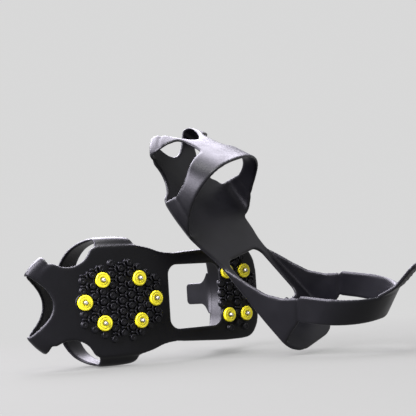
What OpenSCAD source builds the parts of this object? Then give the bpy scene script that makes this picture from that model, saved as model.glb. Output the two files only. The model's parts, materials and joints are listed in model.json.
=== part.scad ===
// Pair of slip-on shoe ice cleats. Each cleat is one stretched rubber moulding with ten studs.
// Cleat frame: X to the toe, Y to the left, Z up from the underside of the sole plate, with X = 0
// at the middle of the four heel studs. The left cleat lies on its side, sole outwards, and the
// right one leans over it, heel down.

/* [Sole plate] */
// Thickness of the rubber sole plate and straps
wall = 2.8; // [2.2:0.1:3.2]
// Distance from the heel studs to the middle of the forefoot studs
stud_span = 115; // [108:1:120]
// Radius of the upward curve under the toes
spring_r = 206; // [190:1:240]
// Half width of the plate between the side wings
wing_y = 44; // [42:0.5:46]
// Half width of the two rails beside the arch opening
rail_y = 36.5; // [35:0.5:38]
// Half width of the heel
heel_y = 39.5; // [38:0.5:41]

/* [Tread] */
// Distance between neighbouring tread posts
post_pitch = 8.4; // [8:0.1:10]
// Diameter of a tread post
post_d = 5.2; // [4:0.1:5.4]
// Height of a tread post
post_h = 2.4; // [1.5:0.1:2.8]

/* [Studs] */
// Diameter of the yellow button
button_d = 12; // [11:0.5:13]
// How far the button stands below the plate
button_h = 3.4; // [3:0.1:4]
// Diameter of the steel pin
pin_d = 3.2; // [2.8:0.1:3.6]
// How far the pin's tip stands below the plate
pin_tip = 6; // [5:0.1:7]

/* [Toe strap] */
// Half width over the wings
last_y = 51; // [50:0.5:53]
// Height of the strap over the instep edge
last_h = 72; // [68:1:76]

/* [Heel strap] */
// Width of the heel strap
strap_w = 23; // [18:0.5:24]
// Height of the fold line where the heel strap starts
fold_z = 31.5; // [29:0.5:33]
// Height of the pull tab
tab_h = 29; // [22:1:32]
// Width of the pull tab
tab_w = 20; // [16:1:22]

/* [Hidden] */
$fn = 64;
spring_x = 95;                 // where the upward curve starts
heel_round = -3;               // centre of the round heel
fold_x = 0;                    // fold line, seen from the side
strap_rise = 45;               // slope of the heel strap
knuckle_gap = 0.4;             // clearance between parts that move
knuckle_lip = 0.4;             // how far the rounded strap root stands past the strap's edges
wall_lean = 20;                // how far the back of the heel strap leans to the front
back_x = -42;                  // a point on the middle of the strap's back wall
back_z = 72;
// Pull tab hinge, on the strap's top edge
tab_z = (fold_z + strap_w / sqrt(2) - back_x + back_z * tan(wall_lean)) / (1 + tan(wall_lean));
tab_x = back_x + (tab_z - back_z) * tan(wall_lean);
tab_lean = 7;
post_rows = 5;
post_column = 8;               // distance between the columns of posts
tread = [42, 31];              // half length and half width of the forefoot tread
heel_tread = [19, 30];
post_clear = 9;                // from the middle of a stud to the middle of a post
seat_h = 0.4;
left_centre = [-88, 24, 52];   // where each cleat's own origin stands, before the shift below
right_offset = [13, -59, -24];
right_turn = [-22, -52, 126];
frame_shift = [150.41, 5.02, -1];
rubber = "#2b2b31";
yellow = "#f4e409";
steel = "#c9ccd0";

// Stud places: distance along the sole and side offset, forefoot first.
STUDS = [
    [stud_span + 31, 0], [stud_span + 16, 16.7], [stud_span + 16, -16.7],
    [stud_span - 16, 16.7], [stud_span - 16, -16.7], [stud_span - 31, 0],
    [9.3, 18.3], [9.3, -18.3], [-9.3, 18.3], [-9.3, -18.3]
];

function signed_pow(v, p) = sign(v) * pow(abs(v), p);
// A place at distance s along the sole and height h above its underside.
function bent(s, y, h) = s < spring_x ? [s, y, h]
    : let (a = (s - spring_x) / spring_r * 180 / PI)
      [spring_x + (spring_r - h) * sin(a), y, spring_r - (spring_r - h) * cos(a)];

module on_sole(s, y) {
    a = s < spring_x ? 0 : (s - spring_x) / spring_r * 180 / PI;
    translate(bent(s, y, 0)) rotate([0, -a, 0]) children();
}

// ---- Sole plate -------------------------------------------------------------------------------
toe_x = 167.8;
toe_curve = 0.037;
function toe_edge(y) = toe_x + toe_curve * y * y;

module half_outline() {
    difference() {
        polygon(concat(
            [for (y = [0:2:20]) [toe_edge(y), y]],
            [[171, 33], [160, 38], [138, wing_y - 2], [134, wing_y], [98, wing_y], [86, 41.5], [76, 38],
             [62, rail_y], [30, rail_y + 0.8], [12, heel_y], [-13, heel_y], [-19, 36],
             [-24, 28], [-26, 17], [-26, 0]]));
        translate([154.5, 46]) circle(17);
    }
}

module outline() {
    difference() {
        union() {
            half_outline();
            mirror([0, 1]) half_outline();
        }
        arch_opening();
    }
}

module arch_opening() {
    r = 8;
    x0 = 17;
    x1 = 68;
    y1 = 25.3;
    translate([x0 + r, -y1]) square([x1 - x0 - 2 * r, 2 * y1]);
    translate([x0, -y1 + r]) square([x1 - x0, 2 * (y1 - r)]);
    for (x = [x0 + r, x1 - r])
        for (y = [-y1 + r, y1 - r])
            translate([x, y]) circle(r);
}

// Side view of the plate: flat at the heel and arch, then curved up under the toes.
module plate_profile() {
    translate([-30, 0]) square([spring_x + 30, wall]);
    intersection() {
        translate([spring_x, spring_r]) difference() {
            circle(spring_r, $fn = 720);
            circle(spring_r - wall, $fn = 720);
        }
        translate([spring_x, -1]) square([110, 60]);
    }
}

function in_tread(s, y) =
    pow((s - stud_span) / tread[0], 2) + pow(y / tread[1], 2) < 1
    || pow(s / heel_tread[0], 4) + pow(y / heel_tread[1], 4) < 1;
function stud_distance(s, y) = min([for (p = STUDS) norm([s - p[0], y - p[1]])]);
// Posts stand in columns across the sole, and those beside a stud are pushed clear of it.
function nearest(s, y) = let (d = stud_distance(s, y))
    [for (p = STUDS) if (norm([s - p[0], y - p[1]]) == d) p][0];
function pushed(s, y, d) = let (p = nearest(s, y), f = max(1, post_clear / d))
    [p[0] + (s - p[0]) * f, p[1] + (y - p[1]) * f];
function post_places() = [
    for (centre = [stud_span, 0])
        for (i = [-post_rows:post_rows])
            for (j = [-post_rows:post_rows])
                let (s = centre + i * post_column, y = (j + (abs(i) % 2) / 2) * post_pitch,
                     d = stud_distance(s, y))
                    if (in_tread(s, y) && d > 7.5) pushed(s, y, d)
];

module sole_plate() {
    color(rubber) difference() {
        union() {
            intersection() {
                translate([0, 0, -1]) linear_extrude(60) outline();
                rotate([90, 0, 0]) linear_extrude(120, center = true) plate_profile();
            }
            for (p = post_places()) on_sole(p[0], p[1])
                translate([0, 0, -post_h]) cylinder(d = post_d, h = post_h + 1, $fn = 24);
        }
        for (p = STUDS) on_sole(p[0], p[1])
            translate([0, 0, -1]) cylinder(d = button_d / 2, h = wall + 2);
    }
    // shallow raised seat that the shoe's heel stands on
    color(rubber) difference() {
        translate([-20, -32, wall - 0.2]) cube([35, 64, 0.2 + seat_h]);
        for (p = STUDS) translate([p[0], p[1], -1]) cylinder(d = button_d / 2, h = wall + 1);
    }
}

// ---- Studs ------------------------------------------------------------------------------------
module stud_button(i) {
    p = STUDS[i];
    color(yellow) on_sole(p[0], p[1]) difference() {
        union() {
            translate([0, 0, -button_h]) cylinder(d = button_d, h = button_h);
            cylinder(d = button_d / 2, h = wall);
        }
        translate([0, 0, -button_h - 1]) cylinder(d = pin_d, h = button_h + wall);
    }
}

module stud_pin(i) {
    p = STUDS[i];
    color(steel) on_sole(p[0], p[1]) translate([0, 0, -pin_tip]) {
        cylinder(d1 = pin_d - 1.4, d2 = pin_d, h = 1);
        translate([0, 0, 1]) cylinder(d = pin_d, h = pin_tip + wall - 2);
    }
}

// ---- Toe strap --------------------------------------------------------------------------------
last_start = 84;
last_mid = 118;
last_end = 198;
function tip(s, p) = s < last_mid ? 0 : pow(min(1, (s - last_mid) / (last_end + 1 - last_mid)), p);
function last_w(s) = s < last_mid ? last_y - 0.0035 * pow(last_mid - s, 2)
    : last_y * sqrt(1 - tip(s, 2.6));
function last_top(s) = (last_h - 0.58 * (s - 112)) * sqrt(1 - tip(s, 4));
// One round of the foot shape at distance s, made smaller by t all round.
function last_ring(s, t, n) = [
    for (k = [0:n - 1])
        let (a = 360 * k / n, w = max(0.5, last_w(s) - t), top = max(2, last_top(s) - t),
             low = min(t, top - 1), mid = max(low + 0.4, min(16, last_top(s) / 2)),
             up = sin(a) > 0, y = w * signed_pow(cos(a), up ? 1 / 1.2 : 1 / 2.4),
             h = up ? mid + max(0.3, top - mid) * signed_pow(sin(a), 1 / 1.2)
                    : mid + (mid - low) * signed_pow(sin(a), 1 / 2.4))
            bent(s, y, h)
];

module last_body(t, s1) {
    n = 56;
    m = 27;
    rings = [for (i = [0:m]) last_start + (s1 - last_start) * (1 - pow(1 - i / m, 1.5))];
    points = [for (s = rings) each last_ring(s, t, n)];
    polyhedron(points, concat(
        [[for (k = [0:n - 1]) k]],
        [[for (k = [0:n - 1]) m * n + n - 1 - k]],
        [for (i = [0:m - 1]) for (k = [0:n - 1])
            each [[i * n + k, (i + 1) * n + k, (i + 1) * n + (k + 1) % n],
                  [i * n + k, (i + 1) * n + (k + 1) % n, i * n + (k + 1) % n]]]));
}

module side_cut(points, y0) {
    for (m = [0, 1]) mirror([0, m, 0])
        translate([0, y0, 0]) rotate([90, 0, 0]) mirror([0, 0, 1]) linear_extrude(60) polygon(points);
}

module toe_strap() {
    color(rubber) difference() {
        last_body(0, last_end);
        last_body(wall, last_end - wall);
        // behind the band's rear edge
        side_cut([[60, -10], [96, -10], [97, 2], [104, 12], [111, 22], [116, 35], [120, 48], [125, 62],
                  [128, 95], [60, 95]], -1);
        // toe opening
        rotate([0, -11, 0]) translate([1, 0, -60]) linear_extrude(200)
            polygon(concat([for (y = [-30:3:30]) [toe_edge(y), y]], [[260, 30], [260, -30]]));
        // side windows, from under the sole to the top of the toes
        side_cut([[137, 2], [130, 23], [133, 34], [141, 43], [149, 48], [157, 49], [164, 46], [168, 38],
                  [169, 26], [166, 8]], 17);
        for (m = [0, 1]) mirror([0, m, 0]) translate([154.5, 46, -10]) cylinder(r = 17, h = 34);
        // room for the sole plate
        translate([0, 0, -5]) linear_extrude(24) union() {
            translate([80, -wing_y]) square([60, 2 * wing_y]);
            half_outline();
            mirror([0, 1]) half_outline();
        }
        intersection() {
            translate([150, -40, 0]) cube([50, 80, 40]);
            across(concat([[150, 0]], [for (s = [150:4:194]) let (p = bent(s, 0, wall)) [p[0], p[2]]],
                          [[190, 0]]));
        }
    }
}

// ---- Heel arms, heel strap and pull tab ---------------------------------------------------------
// Outline of the heel seen from above: a half round at the back, then walls that draw in to the rails.
module heel_plan(y, front_y) {
    polygon(concat(
        [for (a = [90:5:270]) [heel_round + y * cos(a), y * sin(a)]],
        [[12, -y], [62, -front_y], [74, -front_y], [74, front_y], [62, front_y], [12, y]]));
}

module heel_wall(height) {
    linear_extrude(height) difference() {
        heel_plan(heel_y, rail_y);
        heel_plan(heel_y - wall, rail_y - wall);
        translate([73, -60]) square([10, 120]);
    }
}

module across(points) {
    rotate([90, 0, 0]) linear_extrude(120, center = true) polygon(points);
}

module knuckle(r) {
    translate([fold_x, 0, fold_z]) rotate([90, 0, 0]) cylinder(r = r, h = 120, center = true);
}

module heel_arms() {
    half = strap_w / 2;
    color(rubber) difference() {
        intersection() {
            heel_wall(60);
            across([[-14, wall], [-9.5, 14], [-7.5, 23], [0, 29], [7.5, 35], [14, 28], [26, 18], [40, 12.5],
                    [56, 7], [72.5, wall]]);
        }
        knuckle(half + knuckle_lip + knuckle_gap);
    }
}

module heel_round_plan(r, front) {
    polygon(concat([for (a = [90:5:270]) [r * cos(a), r * sin(a)]], [[front, -r], [front, r]]));
}

// The strap's own wall: round at the back, where it leans to the front as a shoe's heel does.
module strap_wall() {
    translate([back_x, 0, back_z]) rotate([0, wall_lean, 0]) translate([heel_y - wall / 2, 0, -100])
        linear_extrude(200) difference() {
            heel_round_plan(heel_y, 45);
            heel_round_plan(heel_y - wall, 46);
        }
}

module heel_strap() {
    half = strap_w / 2;
    reach = 80;
    color(rubber) difference() {
        intersection() {
            strap_wall();
            union() {
                knuckle(half + knuckle_lip);
                translate([fold_x, 0, fold_z]) rotate([0, strap_rise, 0])
                    translate([-reach, -60, -half]) cube([reach, 120, 2 * half]);
            }
        }
        translate([-60, -tab_w / 2 - 1, tab_z - wall / 2 - knuckle_gap]) cube([30, tab_w + 2, 60]);
    }
}

module pull_tab() {
    grooves = 5;
    color(rubber) translate([tab_x, 0, tab_z]) rotate([0, tab_lean, 0]) difference() {
        union() {
            rotate([90, 0, 0]) cylinder(d = wall, h = tab_w, center = true);
            translate([-wall / 2, -tab_w / 2, 0]) cube([wall, tab_w, tab_h]);
        }
        for (i = [0:grooves - 1])
            translate([-wall / 2 - 1, -tab_w / 2 + 3, 8 + i * 4.2]) cube([1.8, tab_w - 6, 1.5]);
    }
}

// ---- Assembly ---------------------------------------------------------------------------------
module place(side) {
    translate(frame_shift) translate(left_centre)
        translate(side == "left" ? [0, 0, 0] : right_offset)
            rotate(side == "left" ? [90, 0, 180] : right_turn) children();
}

for (side = ["left", "right"]) {
    place(side) sole_plate();
    place(side) toe_strap();
    place(side) heel_arms();
    place(side) heel_strap();
    place(side) pull_tab();
    for (i = [0:9]) {
        number = str(i < 9 ? "0" : "", i + 1);
        place(side) stud_button(i);
        place(side) stud_pin(i);
    }
}
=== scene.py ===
"""Looks for a pair of slip-on shoe ice cleats: rubber mouldings, tread, studs, floor, light and camera.

Each cleat is built once in its own frame, in millimetres: X to the toe, Y to the left, Z up from the
underside of the sole plate, X = 0 between the heel studs. The frame's joints and mounts place it.
"""
import json
import math

import bmesh
import bpy
import numpy as np
from mathutils import Matrix, Vector


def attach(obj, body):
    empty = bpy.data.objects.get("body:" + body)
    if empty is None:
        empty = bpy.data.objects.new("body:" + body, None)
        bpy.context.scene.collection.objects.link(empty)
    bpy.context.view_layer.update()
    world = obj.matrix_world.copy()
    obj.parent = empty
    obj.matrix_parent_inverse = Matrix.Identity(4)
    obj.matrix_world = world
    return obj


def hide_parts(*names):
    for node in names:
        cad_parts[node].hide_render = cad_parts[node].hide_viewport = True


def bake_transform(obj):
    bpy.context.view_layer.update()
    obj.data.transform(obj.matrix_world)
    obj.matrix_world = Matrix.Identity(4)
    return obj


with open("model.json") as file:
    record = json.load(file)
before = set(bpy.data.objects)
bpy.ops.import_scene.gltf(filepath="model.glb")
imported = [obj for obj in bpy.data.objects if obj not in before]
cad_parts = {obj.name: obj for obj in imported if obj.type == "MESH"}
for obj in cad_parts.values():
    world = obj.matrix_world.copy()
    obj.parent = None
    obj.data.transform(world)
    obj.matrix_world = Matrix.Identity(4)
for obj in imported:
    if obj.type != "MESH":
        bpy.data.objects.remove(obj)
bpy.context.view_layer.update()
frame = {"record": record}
record = frame["record"]

MM = 0.001

# ---- Sizes, in millimetres -------------------------------------------------------------------------
# Sole plate
WALL = 2.8                              # thickness of the plate and the straps
SEAT_H = 0.4                            # raised seat under the foot
SPRING_X, SPRING_R = 95.0, 206.0        # the upward curve under the toes: where it starts, its radius
WING_Y, RAIL_Y, HEEL_Y = 44.0, 36.5, 39.5   # half widths at the wings, the arch rails and the heel
HEEL_ROUND = -3.0                       # middle of the round heel
ARCH_X0, ARCH_X1, ARCH_Y, ARCH_R = 17.0, 68.0, 25.3, 8.0   # arch opening: ends, half width, corners

# Toe strap, which lies on a foot shape (the last)
LAST_MID, LAST_END = 118.0, 199.0       # widest place and tip of the last, along the sole
LAST_Y, LAST_H = 51.0, 72.0             # half width and height
LAST_WAIST, LAST_SLOPE, LAST_TOP = 0.0035, 0.58, 112   # narrowing behind, fall of the top, its start
LAST_SIDE = 16                          # height of the widest line
LAST_TIP_MAX = 0.98                     # keeps the tip from closing to a point
TOE_X, TOE_CURVE, TOE_TILT = 167.8, 0.037, math.radians(11)   # hollow front edge
TOE_LEAD = 1                            # how far the strap's front edge leads the plate's
CUT_X, CUT_Y, CUT_R, CUT_TOP = 156.0, 46.0, 17.0, 24   # round notch between toe arm and wing
BAND_Y = 17                             # half width of the strap's middle, between the windows
TOE_CREASE_X, TOE_CREASE_Z, TOE_CREASE_SLOPE = 121, 20, 0.2
# Side views, as (x, z): what lies behind the strap, and the window in its side
BEHIND = [(-60, -20), (96, -20), (97, 2), (104, 12), (111, 22), (116, 35), (120, 48), (125, 62),
          (129, 98), (-60, 98)]
WINDOW = [(137, 2), (130, 23), (133, 34), (141, 43), (149, 48), (157, 49), (164, 46), (168, 38),
          (169, 26), (166, 8)]

# Heel arms and heel strap
FOLD = (0.0, 31.5)                      # fold line between them, as (x, z)
FOLD_RISE = math.radians(45)            # slope of the strap
STRAP_HALF = 11.5
ARM_END = 73
BACK_X, BACK_Z, BACK_LEAN = -42.0, 72.0, math.radians(20)   # outside of the strap at the back
MERGE = 8                               # length over which the ring starts to lean
# Side view of the arms, as (x, z)
ARMS = [(-14, 0), (-10, 14), (-9, 23), (-4, 32), (5, 40), (9, 35.5), (14.5, 28), (26, 18.5), (40, 12.5),
        (56, 7), (73, 1), (73, 0)]

# Pull tab
TAB_Z = (FOLD[1] + STRAP_HALF * math.sqrt(2) - BACK_X + BACK_Z * math.tan(BACK_LEAN)) \
    / (1 + math.tan(BACK_LEAN))         # where the strap's upper edge passes behind the heel
TAB_X = BACK_X + (TAB_Z - BACK_Z) * math.tan(BACK_LEAN)
TAB_LEAN = math.radians(7)
TAB_W, TAB_H, TAB_CORNER = 20.0, 29.0, 4
FLARE_W, FLARE_H = 9, 11                # how far the root spreads to each side, and up to where
RIB = 0.7                               # thickening of the gripping side
GROOVES, GROOVE_Z, GROOVE_PITCH, GROOVE_R = 5, 8.5, 4.2, 1.45

# Studs, tread posts and ridges
STUD_SPAN = 115.0                       # from the heel studs to the middle of the forefoot studs
STUDS = [(STUD_SPAN + 31, 0), (STUD_SPAN + 16, 16.7), (STUD_SPAN + 16, -16.7), (STUD_SPAN - 16, 16.7),
         (STUD_SPAN - 16, -16.7), (STUD_SPAN - 31, 0), (9.3, 18.3), (9.3, -18.3), (-9.3, 18.3), (-9.3, -18.3)]
BUTTON_R, BUTTON_H, STEM_R = 6.0, 3.4, 3.0
PIN_R, PIN_TIP = 1.6, 6.0
POST_PITCH, POST_ROW, POST_R, POST_H = 8.4, 8.0, 2.6, 2.4
FRONT_TREAD, HEEL_TREAD = (40, 31), (19, 30)   # half length and half width of the two tread fields
POST_SKIP, POST_CLEAR = 7.5, 9          # nearer posts are left out or pushed away from a stud
RIDGE_CLEAR = 8.6
RIDGE_HALF, RIDGE_H = 0.6, 2.1
RIDGE_ARMS = ((0, 4.6), (120, 3.2), (240, 3.2))   # direction in degrees and length

# Nets: cell sizes, roundings and smoothing
CELL, TAB_CELL = 0.8, 0.45
EDGE = 2.2                              # rounding of the moulding's edges
SOFT_CUT, SOFT_EDGE = 2.4, 1.6          # rounding of the corners of outlines
CREASE_R, CREASE_EDGE = 0.9, 0.6
BLUR_ROUNDS, RELAX_ROUNDS, TAB_RELAX_ROUNDS = 3, 40, 2


# ---- Frames ----------------------------------------------------------------------------------------
def joint(name):
    """The record's joint of that name."""
    return next(j for j in record["behaviour"]["joints"] if j["name"] == name)


def cleat_matrix(side):
    """The matrix from a cleat's own frame, in millimetres, to the row frame, in metres."""
    seat = next(m for m in record["mounts"] if m["name"] == side + "_shoe_seat")
    z = Vector(seat["axis"]).normalized()
    y = Vector(joint(side + "_heel_swing")["axis"]).normalized()
    x = y.cross(z).normalized()
    origin = Vector(seat["pos_m"]) - z * (WALL + SEAT_H) * MM
    turn = Matrix((x, y, z)).transposed().to_4x4()
    return Matrix.Translation(origin) @ turn @ Matrix.Scale(MM, 4)


def bent(s, y, h):
    """A place at distance s along the sole and height h above its underside."""
    if s < SPRING_X:
        return (s, y, h)
    a = (s - SPRING_X) / SPRING_R
    return (SPRING_X + (SPRING_R - h) * math.sin(a), y, SPRING_R - (SPRING_R - h) * math.cos(a))


def on_sole(s, y):
    """The matrix of a stud or post: Z down out of the sole at (s, y)."""
    a = max(0.0, (s - SPRING_X) / SPRING_R)
    return Matrix.Translation(bent(s, y, 0)) @ Matrix.Rotation(-a, 4, "Y") @ Matrix.Scale(-1, 4, (0, 0, 1))


# ---- Distance fields -------------------------------------------------------------------------------
def smin(a, b, k):
    """Union of two fields with a fillet of about k."""
    h = np.maximum(k - np.abs(a - b), 0) / k
    return np.minimum(a, b) - h * h * k / 4


def smax(a, b, k):
    """Intersection of two fields with an edge rounding of about k."""
    return -smin(-a, -b, k)


def shell(distance):
    """The wall that lies just inside the surface at distance 0."""
    return np.abs(distance + WALL / 2) - WALL / 2


def polygon_distance(points, u, v):
    """Signed distance of (u, v) to a polygon, negative inside."""
    best = np.full(np.broadcast(u, v).shape, 1e9)
    inside = np.zeros(best.shape, bool)
    for (x0, y0), (x1, y1) in zip(points, points[1:] + points[:1]):
        dx, dy = x1 - x0, y1 - y0
        t = np.clip(((u - x0) * dx + (v - y0) * dy) / max(dx * dx + dy * dy, 1e-9), 0, 1)
        best = np.minimum(best, (u - x0 - t * dx) ** 2 + (v - y0 - t * dy) ** 2)
        if y0 != y1:
            crosses = (y0 > v) != (y1 > v)
            inside ^= crosses & (u < x0 + (v - y0) * dx / dy)
    return np.where(inside, -1, 1) * np.sqrt(best)


def soften(field, reach):
    """Rounds the corners of a 2-D distance field by averaging over a few cells."""
    n = max(1, int(round(reach / CELL)))
    for _ in range(3):
        for axis in (0, 1):
            pad = [(n, n) if i == axis else (0, 0) for i in (0, 1)]
            total = np.cumsum(np.insert(np.pad(field, pad, mode="edge"), 0, 0, axis), axis)
            field = (np.take(total, range(2 * n + 1, total.shape[axis]), axis)
                     - np.take(total, range(0, total.shape[axis] - 2 * n - 1), axis)) / (2 * n + 1)
    return field


def blur(field, rounds):
    """Rounds the edges and inner corners of a 3-D field over a cell or two."""
    for axis in (0, 1, 2) * rounds:
        wide = np.pad(field, [(1, 1) if k == axis else (0, 0) for k in range(3)], mode="edge")
        n = wide.shape[axis]
        field = (np.take(wide, range(n - 2), axis) + 2 * field + np.take(wide, range(2, n), axis)) / 4
    return field


def surface(f, start, cell):
    """Quads of the zero surface of field f by surface nets: (vertices, faces)."""
    inside = f < 0
    shape = tuple(n - 1 for n in f.shape)
    total = np.zeros(shape + (3,))
    count = np.zeros(shape, np.int32)
    quads = []
    for axis in range(3):
        lo = [slice(None)] * 3
        hi = [slice(None)] * 3
        lo[axis], hi[axis] = slice(0, -1), slice(1, None)
        a, b = f[tuple(lo)], f[tuple(hi)]
        i, j, k = np.nonzero(inside[tuple(lo)] != inside[tuple(hi)])
        t = a[i, j, k] / (a[i, j, k] - b[i, j, k])
        place = np.stack([i, j, k], 1).astype(float)
        place[:, axis] += t
        u, v = [n for n in range(3) if n != axis]
        cells = []
        for du, dv in ((-1, -1), (0, -1), (0, 0), (-1, 0)):
            c = np.stack([i, j, k], 1)
            c[:, u] += du
            c[:, v] += dv
            ok = (c >= 0).all(1) & (c < np.array(shape)).all(1)
            np.add.at(total, tuple(c[ok].T), place[ok])
            np.add.at(count, tuple(c[ok].T), 1)
            cells.append((c, ok))
        good = np.all([ok for _, ok in cells], 0)
        flip = inside[tuple(lo)][i, j, k] != (axis == 1)
        ring = np.stack([c for c, _ in cells], 1)
        ring[~flip] = ring[~flip][:, ::-1]
        quads.append(ring[good])
    mixed = count > 0
    number = np.full(shape, -1, np.int64)
    number[mixed] = np.arange(mixed.sum())
    verts = total[mixed] / count[mixed][:, None] * cell + np.array(start)
    ring = np.concatenate(quads)
    return verts, number[ring[..., 0], ring[..., 1], ring[..., 2]]


def relax(verts, faces, rounds):
    """Evens out the net without shrinking it."""
    edges = np.concatenate([faces[:, [i, (i + 1) % 4]] for i in range(4)])
    degree = np.bincount(edges.ravel(), minlength=len(verts))[:, None]
    for step in [0.5, -0.52] * rounds:
        mean = np.stack([np.bincount(edges[:, 0], verts[edges[:, 1], c], len(verts))
                         + np.bincount(edges[:, 1], verts[edges[:, 0], c], len(verts)) for c in range(3)], 1)
        verts = verts + step * (mean / np.maximum(degree, 1) - verts)
    return verts


# ---- The moulding ----------------------------------------------------------------------------------
def last_distance(x, y, z):
    """A field that is 0 on the last and negative inside it, and the height above the sole's underside."""
    a = np.arctan2(x - SPRING_X, SPRING_R - z)
    s = np.where(x > SPRING_X, SPRING_X + SPRING_R * a, x)
    h = np.where(x > SPRING_X, SPRING_R - np.hypot(x - SPRING_X, SPRING_R - z), z)
    t = np.clip((s - LAST_MID) / (LAST_END - LAST_MID), 0, LAST_TIP_MAX)
    w = np.where(s < LAST_MID, LAST_Y - LAST_WAIST * (LAST_MID - s) ** 2, LAST_Y * np.sqrt(1 - t ** 2.6))
    top = (LAST_H - LAST_SLOPE * (s - LAST_TOP)) * np.sqrt(1 - t ** 4)
    w, top = np.maximum(w, 1.0), np.maximum(top, 2.5)
    mid = np.minimum(LAST_SIDE, top / 2)
    up = h > mid
    v = np.where(up, (h - mid) / (top - mid), (mid - h) / mid)
    n = np.where(up, 2.4, 4.8)
    g = (np.abs(y / w) ** n + np.abs(v) ** n + 1e-9) ** (1 / n) - 1
    return g, h


def outline_points():
    """Outline of the sole plate from above: hollow toe edge, toe arms, wings, rails, round heel."""
    edge = [(TOE_X + TOE_CURVE * y * y, y) for y in np.arange(0, 21, 2.0)]
    side = [(171, 31), (160, 37), (138, WING_Y - 2), (134, WING_Y), (98, WING_Y), (86, 41.5), (76, 38),
            (62, RAIL_Y), (30, RAIL_Y + 0.8), (12, HEEL_Y), (-13, HEEL_Y), (-19, 36), (-24, 28), (-26, 17)]
    half = edge + side
    return half + [(x, -y) for x, y in reversed(half)]


def arch_distance(x, y):
    """Signed distance to the arch opening, a rectangle with round corners."""
    dx = np.abs(x - (ARCH_X0 + ARCH_X1) / 2) - ((ARCH_X1 - ARCH_X0) / 2 - ARCH_R)
    dy = np.abs(y) - (ARCH_Y - ARCH_R)
    return np.hypot(np.maximum(dx, 0), np.maximum(dy, 0)) + np.minimum(np.maximum(dx, dy), 0) - ARCH_R


def heel_points():
    """Outline of the heel arms from above: a half circle behind, straight towards the arch."""
    arc = [(HEEL_ROUND + HEEL_Y * math.cos(a), HEEL_Y * math.sin(a))
           for a in np.radians(np.arange(90, 271, 4))]
    return arc + [(12, -HEEL_Y), (62, -RAIL_Y), (80, -RAIL_Y), (80, RAIL_Y), (62, RAIL_Y), (12, HEEL_Y)]


def toe_field(x, y, z, reach, notch):
    """The toe strap: a wall on the last, cut behind, in front, and by a window in each side."""
    xz, zz = x[:, 0], z[:, 0]
    behind = soften(polygon_distance(BEHIND, xz, zz), SOFT_CUT)[:, None, :]
    edge = TOE_X + TOE_LEAD + TOE_CURVE * y ** 2
    front = (x * math.cos(TOE_TILT) + z * math.sin(TOE_TILT) - edge) / np.sqrt(1 + (2 * TOE_CURVE * y) ** 2)
    window = soften(polygon_distance(WINDOW, xz, zz), SOFT_CUT)[:, None, :]
    window = smin(smax(window, BAND_Y - y, 6), notch, 7)
    toe = shell(reach)
    for cut in (-behind, front, -window):
        toe = smax(toe, cut, EDGE)
    rise = z - TOE_CREASE_Z - TOE_CREASE_SLOPE * (x - TOE_CREASE_X)
    return smax(toe, CREASE_R - np.hypot(rise, reach), CREASE_EDGE)


def plate_field(x, y, h, notch):
    """The sole plate with its arch opening and the notches beside the toe arms."""
    x2, y2 = x[:, :, 0], y[:, :, 0]
    outline = soften(polygon_distance(outline_points(), x2, y2), SOFT_EDGE)
    outline = smax(outline, -arch_distance(x2, y2), 1.5)[:, :, None]
    plate = smax(outline, np.abs(h - WALL / 2) - WALL / 2, EDGE)
    return smax(plate, -notch, EDGE)


def heel_field(x, y, z):
    """The heel arms and the strap: a ring that stands on the arms and leans in behind the fold."""
    xz, zz, c = x[:, 0], z[:, 0], math.cos(FOLD_RISE)
    u = (xz - FOLD[0]) * -c + (zz - FOLD[1]) * c
    v = (xz - FOLD[0]) * c + (zz - FOLD[1]) * c
    back = (x - BACK_X) * math.cos(BACK_LEAN) - (z - BACK_Z) * math.sin(BACK_LEAN) - (HEEL_Y - WALL / 2)
    leaning = np.hypot(np.minimum(back, 0), y) - HEEL_Y
    mix = np.clip(u[:, None, :] / MERGE + 0.5, 0, 1)
    upright = polygon_distance(heel_points(), x[:, :, 0], y[:, :, 0])[:, :, None]
    ring = smax(shell(upright * (1 - mix) + leaning * mix), x - ARM_END, 1)
    strap = np.maximum(np.abs(v) - STRAP_HALF, -u)
    side = soften(np.minimum(polygon_distance(ARMS, xz, zz), strap), SOFT_EDGE)[:, None, :]
    crease = np.hypot(u[:, None, :], ring) - CREASE_R
    return smax(smax(ring, side, EDGE), -crease, CREASE_EDGE)


def moulding():
    """The whole rubber moulding, without tread or tab: (vertices, quads)."""
    xs, ys, zs = np.arange(-47, 201, CELL), np.arange(0, 55, CELL), np.arange(-4, 92, CELL)
    x, y, z = xs[:, None, None], ys[None, :, None], zs[None, None, :]
    g, h = last_distance(x, y, z)
    slope = np.sqrt(sum(d * d for d in np.gradient(g, CELL)))
    reach = g / np.maximum(slope, 1e-3)
    notch = smax(np.hypot(x - CUT_X, y - CUT_Y) - CUT_R, z - CUT_TOP, 8)
    body = np.minimum(plate_field(x, y, h, notch), toe_field(x, y, z, reach, notch))
    body = np.minimum(body, heel_field(x, y, z))
    both_sides = np.concatenate([body[:, :0:-1], body], 1)
    verts, faces = surface(blur(both_sides, BLUR_ROUNDS), (xs[0], -ys[-1], zs[0]), CELL)
    return relax(verts, faces, RELAX_ROUNDS), faces


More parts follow.
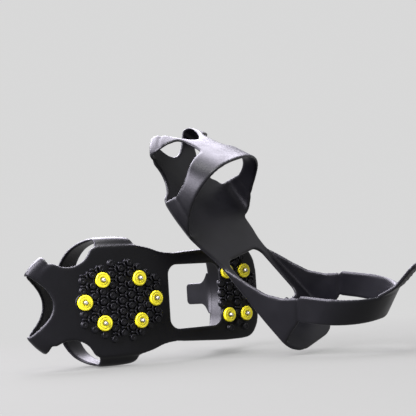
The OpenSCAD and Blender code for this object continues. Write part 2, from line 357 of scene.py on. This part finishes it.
# ---- The pull tab ----------------------------------------------------------------------------------
def tab_shape(x, y, z):
    """The flat tab with its flared root, raised gripping side and grooves, as a field."""
    half_w = TAB_W / 2 + FLARE_W * np.clip(1 - z / FLARE_H, 0, 1) ** 2.2
    side = np.abs(y) - half_w
    over_y, over_z = np.abs(y) - TAB_W / 2 + TAB_CORNER, z - TAB_H + TAB_CORNER
    corner = np.hypot(np.maximum(over_y, 0), np.maximum(over_z, 0)) - TAB_CORNER
    top = np.where((over_z > 0) & (over_y > 0), corner, z - TAB_H)
    ribs = RIB * np.clip((z - 5) / 2, 0, 1) * np.clip((TAB_W / 2 - 1.2 - np.abs(y)) / 1.5, 0, 1)
    f = smax(np.maximum(side, top), np.abs(x) - WALL / 2 - ribs * (x < 0), 1.4)
    f = smax(f, -z - 4, 1.0)
    for i in range(GROOVES):
        z0 = GROOVE_Z + i * GROOVE_PITCH
        groove = smax(np.hypot(x + WALL / 2 + 0.8, z - z0) - GROOVE_R, np.abs(y) - TAB_W / 2 + 2.2, 1.0)
        f = smax(f, -groove, 0.4)
    return f


def tab_field():
    """The pull tab, sagged and leaned at its root to lie on the round strap: (vertices, quads)."""
    xs, ys, zs = np.arange(-4, 4, TAB_CELL), np.arange(-22, 22, TAB_CELL), np.arange(-7, TAB_H + 3, TAB_CELL)
    f = tab_shape(xs[:, None, None], ys[None, :, None], zs[None, None, :])
    verts, faces = surface(f, (xs[0], ys[0], zs[0]), TAB_CELL)
    x, y, z = relax(verts, faces, TAB_RELAX_ROUNDS).T
    mid_r = HEEL_Y - WALL / 2
    sag = 0.78 * (mid_r - np.sqrt(mid_r ** 2 - y ** 2)) * np.clip(1 - z / 12, 0, 1)
    lean = BACK_LEAN + (TAB_LEAN - BACK_LEAN) * np.clip(z / 6 + 0.3, 0, 1)
    out_x = TAB_X + x * np.cos(lean) + z * np.sin(lean) + sag
    out_z = TAB_Z - x * np.sin(lean) + z * np.cos(lean) - sag
    return np.stack([out_x, y, out_z], 1), faces


# ---- Meshes ----------------------------------------------------------------------------------------
def make(name, verts, faces, matrix, material, slot):
    """A smooth-shaded piece, with its vertices in the row frame."""
    turn = np.array(matrix)
    placed = np.asarray(verts) @ turn[:3, :3].T + turn[:3, 3]
    mesh = bpy.data.meshes.new(name)
    mesh.from_pydata(placed.tolist(), [], [list(map(int, f)) for f in faces])
    mesh.validate()
    work = bmesh.new()
    work.from_mesh(mesh)
    bmesh.ops.recalc_face_normals(work, faces=work.faces)
    work.to_mesh(mesh)
    work.free()
    mesh.polygons.foreach_set("use_smooth", [True] * len(mesh.polygons))
    mesh.materials.append(material)
    piece = bpy.data.objects.new(name, mesh)
    bpy.context.scene.collection.objects.link(piece)
    return piece


def part_of(verts, faces, keep):
    """The faces that keep says, with only their own vertices."""
    faces = faces[keep]
    used, index = np.unique(faces, return_inverse=True)
    return verts[used], index.reshape(faces.shape)


def lathe(profile, steps):
    """A closed turned ring from (radius, height) points, none of them on the axis."""
    verts, faces = [], []
    n = len(profile)
    for k in range(steps):
        a = 2 * math.pi * k / steps
        verts += [(r * math.cos(a), r * math.sin(a), z) for r, z in profile]
    for k in range(steps):
        m = (k + 1) % steps
        faces += [(k * n + i, m * n + i, m * n + i + 1, k * n + i + 1) for i in range(n - 1)]
        faces.append((k * n + n - 1, m * n + n - 1, m * n, k * n))
    return verts, faces


def gather(shapes):
    """Joins (vertices, faces, matrix) shapes into one list of each."""
    verts, faces = [], []
    for v, f, matrix in shapes:
        faces += [tuple(len(verts) + i for i in face) for face in f]
        verts += [tuple(matrix @ Vector(p)) for p in v]
    return verts, faces


# ---- Tread and studs -------------------------------------------------------------------------------
def in_tread(s, y):
    """Whether (s, y) is in the oval forefoot field or the squarish heel field."""
    front = ((s - STUD_SPAN) / FRONT_TREAD[0]) ** 2 + (y / FRONT_TREAD[1]) ** 2 < 1
    heel = (s / HEEL_TREAD[0]) ** 4 + (y / HEEL_TREAD[1]) ** 4 < 1
    return front or heel


def nearest_stud(s, y):
    """The stud centre nearest to (s, y), and how far away it is."""
    stud = min(STUDS, key=lambda p: math.hypot(s - p[0], y - p[1]))
    return stud, math.hypot(s - stud[0], y - stud[1])


def post_places():
    """Tread posts by grid index, in columns across the sole, pushed clear of the studs."""
    places = {}
    for block, centre in enumerate((STUD_SPAN, 0.0)):
        for i in range(-5, 6):
            for j in range(-5, 6):
                s, y = centre + i * POST_ROW, (j + (i % 2) / 2) * POST_PITCH
                stud, far = nearest_stud(s, y)
                if in_tread(s, y) and far > POST_SKIP:
                    push = max(1, POST_CLEAR / far)
                    places[block, i, j] = (stud[0] + (s - stud[0]) * push, stud[1] + (y - stud[1]) * push)
    return places


def ridge(length):
    """A low rounded ridge of the tread, from the origin along X."""
    w, h = RIDGE_HALF, RIDGE_H
    section = [(-w - 0.3, -1), (-w, h - 0.35), (-w + 0.2, h), (w - 0.2, h), (w, h - 0.35), (w + 0.3, -1)]
    n = len(section)
    verts = [(x, y, z) for x in (0, length - 0.4, length) for y, z in section]
    verts[2 * n:] = [(x, y, min(z, h - 0.5)) for x, y, z in verts[2 * n:]]
    faces = [(k * n + i, k * n + (i + 1) % n, (k + 1) * n + (i + 1) % n, (k + 1) * n + i)
             for k in range(2) for i in range(n)]
    return verts, faces + [tuple(range(n)), tuple(range(3 * n - 1, 2 * n - 1, -1))]


def post():
    """Round tread post with a dished top and a fillet at its foot."""
    r, h = POST_R, POST_H
    return lathe([(0.01, h - 0.3), (r * 0.45, h - 0.25), (r * 0.72, h), (r - 0.3, h - 0.1), (r, h - 0.5),
                  (r, 0.7), (r + 0.2, 0.25), (r + 0.6, 0), (r + 0.6, -1), (0.01, -1)], 24)


def lip():
    """Low rubber lip round a stud."""
    r = BUTTON_R
    return lathe([(r + 0.5, -1), (r + 0.5, 0.7), (r + 0.7, 0.95), (r + 1.0, 0.95), (r + 1.3, 0.7),
                  (r + 1.6, 0.05), (r + 1.6, -1)], 48)


def tread():
    """Round posts, the small three-armed ridges between them and the lip round each stud."""
    places = post_places()
    shapes = [(*post(), on_sole(s, y)) for s, y in places.values()]
    shapes += [(*lip(), on_sole(s, y)) for s, y in STUDS]
    for block, i, j in places:
        s = (STUD_SPAN, 0.0)[block] + i * POST_ROW - POST_ROW / 3
        y = (j + 0.5 + (i % 2) / 2) * POST_PITCH
        if nearest_stud(s, y)[1] >= RIDGE_CLEAR and in_tread(s, y):
            for turn, length in RIDGE_ARMS:
                spin = Matrix.Rotation(math.radians(turn), 4, "Z")
                shapes.append((*ridge(length), on_sole(s, y) @ spin))
    return gather(shapes)


def button():
    """Yellow disc with a domed rim, a shallow ring groove and a dished middle round the pin."""
    r, h = BUTTON_R, BUTTON_H
    middle = [(PIN_R, -WALL + 0.6), (PIN_R, h - 1.0), (PIN_R + 0.5, h - 0.85), (PIN_R + 0.95, h - 0.2),
              (PIN_R + 1.25, h)]
    groove = [(r - 2.1, h), (r - 1.95, h - 0.16), (r - 1.65, h - 0.16), (r - 1.5, h)]
    rim = [(r - 0.7, h - 0.03), (r - 0.25, h - 0.2), (r, h - 0.65), (r, 0.02)]
    return lathe(middle + groove + rim + [(STEM_R, 0.01), (STEM_R, -WALL + 0.6)], 64)


def pin():
    """Steel pin with a slightly hollow tip and one turned groove."""
    r, t = PIN_R, PIN_TIP
    return lathe([(0.01, t - 0.25), (0.45, t - 0.2), (0.7, t), (0.95, t - 0.05), (1.2, t - 0.4), (r, t - 1.2),
                  (r, t - 2.4), (r - 0.12, t - 2.5), (r - 0.12, t - 2.8), (r, t - 2.9), (r, -WALL + 1),
                  (0.01, -WALL + 1)], 40)


# ---- Materials -------------------------------------------------------------------------------------
def shader(name, colour, roughness, metallic=0.0):
    """A new material: (material, nodes, links, its Principled node)."""
    material = bpy.data.materials.new(name)
    material.use_nodes = True
    nodes, links = material.node_tree.nodes, material.node_tree.links
    bsdf = nodes["Principled BSDF"]
    bsdf.inputs["Base Color"].default_value = (*colour, 1)
    bsdf.inputs["Roughness"].default_value = roughness
    bsdf.inputs["Metallic"].default_value = metallic
    return material, nodes, links, bsdf


def noise(nodes, links, scale, detail):
    """A noise in the piece's own coordinates, in metres."""
    place = nodes.new("ShaderNodeTexCoord")
    node = nodes.new("ShaderNodeTexNoise")
    node.inputs["Scale"].default_value = scale
    node.inputs["Detail"].default_value = detail
    node.inputs["Roughness"].default_value = 0.55
    links.new(place.outputs["Object"], node.inputs["Vector"])
    return node.outputs["Fac"]


def ramp(nodes, links, value, low, high):
    """Turns a 0 to 1 noise into colours between low and high."""
    node = nodes.new("ShaderNodeValToRGB")
    node.color_ramp.elements[0].position, node.color_ramp.elements[1].position = 0.3, 0.7
    node.color_ramp.elements[0].color = (*low, 1)
    node.color_ramp.elements[1].color = (*high, 1)
    links.new(value, node.inputs["Fac"])
    return node.outputs["Color"]


def spread(nodes, links, value, low, high):
    """Maps a 0 to 1 noise onto the range low to high."""
    node = nodes.new("ShaderNodeMapRange")
    node.inputs["From Min"].default_value, node.inputs["From Max"].default_value = 0.3, 0.7
    node.inputs["To Min"].default_value, node.inputs["To Max"].default_value = low, high
    links.new(value, node.inputs["Value"])
    return node.outputs["Result"]


def bump(nodes, links, bsdf, value, strength, distance):
    """Fine surface relief of that depth, in metres."""
    node = nodes.new("ShaderNodeBump")
    node.inputs["Strength"].default_value = strength
    node.inputs["Distance"].default_value = distance
    links.new(value, node.inputs["Height"])
    links.new(node.outputs["Normal"], bsdf.inputs["Normal"])


def rubber_material():
    """Satin charcoal elastomer with mould haze, convex edges painted lighter as a bluish rim highlight and
    faint wear, and a very fine grain.
    """
    material, nodes, links, bsdf = shader("rubber", (0.005, 0.005, 0.006), 0.4)
    haze = ramp(nodes, links, noise(nodes, links, 14, 5), (0.0017, 0.0017, 0.0022), (0.0032, 0.0032, 0.0042))
    # Painted highlight: convex edges, found by pointiness, are painted a lighter bluish grey that stands for
    # the rim light on edges as well as faint wear.
    shape = nodes.new("ShaderNodeNewGeometry")
    edge = nodes.new("ShaderNodeMapRange")
    edge.inputs["From Min"].default_value, edge.inputs["From Max"].default_value = 0.52, 0.62
    edge.inputs["To Max"].default_value = 0.15
    links.new(shape.outputs["Pointiness"], edge.inputs["Value"])
    rim_highlight_and_wear = nodes.new("ShaderNodeMix")
    rim_highlight_and_wear.data_type = "RGBA"
    rim_highlight_and_wear.inputs["B"].default_value = (0.03, 0.03, 0.037, 1)
    links.new(edge.outputs["Result"], rim_highlight_and_wear.inputs["Factor"])
    links.new(haze, rim_highlight_and_wear.inputs["A"])
    links.new(rim_highlight_and_wear.outputs["Result"], bsdf.inputs["Base Color"])
    links.new(spread(nodes, links, noise(nodes, links, 60, 4), 0.33, 0.44), bsdf.inputs["Roughness"])
    bsdf.inputs["Specular IOR Level"].default_value = 0.19
    bsdf.inputs["Sheen Weight"].default_value = 0.02
    bsdf.inputs["Sheen Roughness"].default_value = 0.35
    bsdf.inputs["Sheen Tint"].default_value = (0.8, 0.78, 1.0, 1)
    bump(nodes, links, bsdf, noise(nodes, links, 1500, 2), 0.25, 0.0001)
    return material


def yellow_material():
    """Bright lemon plastic with slight moulding unevenness."""
    material, nodes, links, bsdf = shader("stud_yellow", (0.85, 0.8, 0.01), 0.33)
    tone = ramp(nodes, links, noise(nodes, links, 180, 3), (0.6, 0.52, 0.01), (0.66, 0.59, 0.016))
    links.new(tone, bsdf.inputs["Base Color"])
    links.new(spread(nodes, links, noise(nodes, links, 500, 2), 0.26, 0.4), bsdf.inputs["Roughness"])
    bump(nodes, links, bsdf, noise(nodes, links, 900, 2), 0.15, 0.0001)
    return material


def steel_material():
    """Turned steel, a little dulled, with fine uneven polish."""
    material, nodes, links, bsdf = shader("stud_steel", (0.72, 0.73, 0.75), 0.25, 1.0)
    tone = ramp(nodes, links, noise(nodes, links, 700, 3), (0.36, 0.35, 0.31), (0.5, 0.49, 0.45))
    links.new(tone, bsdf.inputs["Base Color"])
    links.new(spread(nodes, links, noise(nodes, links, 1200, 3), 0.38, 0.52), bsdf.inputs["Roughness"])
    bump(nodes, links, bsdf, noise(nodes, links, 2500, 2), 0.2, 0.00005)
    return material


# ---- The two cleats --------------------------------------------------------------------------------
STRAP_X, STRAP_Z = 20, 12               # the strap lies behind and above these places

rubber, yellow, steel = rubber_material(), yellow_material(), steel_material()
body_verts, body_faces = moulding()
tab_verts, tab_faces = tab_field()
tread_verts, tread_faces = tread()
centres = body_verts[body_faces].mean(1)
past_fold = (centres[:, 2] - FOLD[1]) - (centres[:, 0] - FOLD[0]) > 0
is_strap = past_fold & (centres[:, 0] < STRAP_X) & (centres[:, 2] > STRAP_Z)


def add_sole(side, sole, matrix):
    """The moulding without the heel strap, and the tread under it."""
    piece = make(side + "_moulding", *part_of(body_verts, body_faces, ~is_strap), matrix, rubber, "rubber")
    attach(piece, sole)
    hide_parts(side + "_sole_plate", side + "_toe_strap", side + "_heel_arms")
    piece = make(side + "_tread", tread_verts, tread_faces, matrix, rubber, "rubber")
    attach(piece, sole)


def add_studs(side, sole, matrix):
    """Ten yellow buttons, each with its steel pin."""
    for i, (s, y) in enumerate(STUDS):
        number = f"{i + 1:02d}"
        for kind, (verts, faces), material, slot in (("button", button(), yellow, "stud_yellow"),
                                                     ("pin", pin(), steel, "stud_steel")):
            piece = make(f"{side}_{kind}_{number}", verts, faces, matrix @ on_sole(s, y), material, slot)
            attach(piece, sole)
            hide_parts(f"{side}_stud_{kind}_{number}")


def add_strap(side, matrix):
    """The heel strap, cut from the moulding where it leaves the arms, with its placing baked into its
    vertices.
    """
    strap = make(side + "_strap", *part_of(body_verts, body_faces, is_strap), matrix, rubber, "rubber")
    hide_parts(side + "_heel_strap")
    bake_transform(strap)


def add_tab(side, matrix):
    """The pull tab, leaned at its root by tab_field, with its placing baked into its vertices."""
    grip = make(side + "_tab", tab_verts, tab_faces, matrix, rubber, "rubber")
    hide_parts(side + "_pull_tab")
    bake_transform(grip)


for side in ("left", "right"):
    matrix = cleat_matrix(side)
    sole, heel, tab = side + "_sole", side + "_heel", side + "_tab"
    add_sole(side, sole, matrix)
    add_studs(side, sole, matrix)
    add_strap(side, matrix)
    add_tab(side, matrix)


# ---- Floor, light and camera, in metres ------------------------------------------------------------
BACKDROP = (0.69, 0.69, 0.69)
SKY, WHITE = (0.9, 0.86, 1.0), (1, 1, 1)
MIDDLE = (0.0, 0.0, 0.08)               # what the lights point at
FLOOR_Z, FLOOR_R = -0.0005, 8
GLOW_FROM, GLOW_FULL, GLOW_LEAST = 0.15, 0.7, 0.45
LENS = 86.5                             # in millimetres, on a sensor 36 wide
CAMERA_PLACE = Vector((-0.5450, -0.6620, 0.0091))   # from the left cleat's origin
CAMERA_LOOK, CAMERA_UP = Vector((0.6167, 0.7836, 0.0750)), Vector((0.0031, -0.0976, 0.9952))


def floor():
    """A pale studio floor: it takes shadows near the cleats and glows like the backdrop further out."""
    mesh = bpy.data.meshes.new("floor")
    work = bmesh.new()
    bmesh.ops.create_circle(work, cap_ends=True, segments=96, radius=FLOOR_R)
    work.to_mesh(mesh)
    work.free()
    ground = bpy.data.objects.new("floor", mesh)
    ground.location.z = FLOOR_Z
    bpy.context.scene.collection.objects.link(ground)
    material, nodes, links, bsdf = shader("floor", (0.098, 0.1, 0.09), 0.9)
    bsdf.inputs["Specular IOR Level"].default_value = 0.0
    glow = nodes.new("ShaderNodeEmission")
    glow.inputs["Color"].default_value = (*BACKDROP, 1)
    place = nodes.new("ShaderNodeTexCoord")
    length = nodes.new("ShaderNodeVectorMath")
    length.operation = "LENGTH"
    links.new(place.outputs["Object"], length.inputs[0])
    fade = nodes.new("ShaderNodeMapRange")
    fade.interpolation_type = "SMOOTHSTEP"
    fade.inputs["From Min"].default_value, fade.inputs["From Max"].default_value = GLOW_FROM, GLOW_FULL
    fade.inputs["To Min"].default_value = GLOW_LEAST
    links.new(length.outputs["Value"], fade.inputs["Value"])
    mix = nodes.new("ShaderNodeMixShader")
    links.new(fade.outputs["Result"], mix.inputs["Fac"])
    links.new(bsdf.outputs["BSDF"], mix.inputs[1])
    links.new(glow.outputs["Emission"], mix.inputs[2])
    links.new(mix.outputs["Shader"], nodes["Material Output"].inputs["Surface"])
    mesh.materials.append(material)


def backdrop():
    """Even pale grey all round, shown as it is."""
    scene = bpy.context.scene
    scene.view_settings.view_transform = "Standard"
    scene.world = scene.world or bpy.data.worlds.new("world")
    scene.world.use_nodes = True
    background = scene.world.node_tree.nodes["Background"]
    background.inputs["Color"].default_value = (*BACKDROP, 1)
    background.inputs["Strength"].default_value = 1.0


def area(name, place, size, power, colour):
    """A round light at that place, pointing at the middle."""
    data = bpy.data.lights.new(name, "AREA")
    data.color = colour
    data.shape = "DISK"
    data.size = size
    data.energy = power
    light = bpy.data.objects.new(name, data)
    light.location = place
    light.rotation_euler = (Vector(MIDDLE) - Vector(place)).to_track_quat("-Z", "Y").to_euler()
    bpy.context.scene.collection.objects.link(light)


def camera():
    """A long lens close to the floor, on the studded side of the left cleat."""
    origin = cleat_matrix("left") @ Vector((0, 0, 0))
    look = CAMERA_LOOK.normalized()
    right = look.cross(CAMERA_UP).normalized()
    up = right.cross(look).normalized()
    data = bpy.data.cameras.new("camera")
    data.lens = LENS
    data.sensor_width = 36
    data.clip_start = 0.05
    view = bpy.data.objects.new("camera", data)
    turn = Matrix((right, up, -look)).transposed().to_4x4()
    view.matrix_world = Matrix.Translation(origin + CAMERA_PLACE) @ turn
    bpy.context.scene.collection.objects.link(view)
    bpy.context.scene.camera = view


backdrop()
floor()
area("back", (0.2, 0.95, 1.35), 2.0, 150, SKY)
area("left", (-1.3, 0.05, 0.95), 1.4, 160, SKY)
area("top", (0.05, -0.35, 1.1), 0.3, 9, WHITE)
camera()
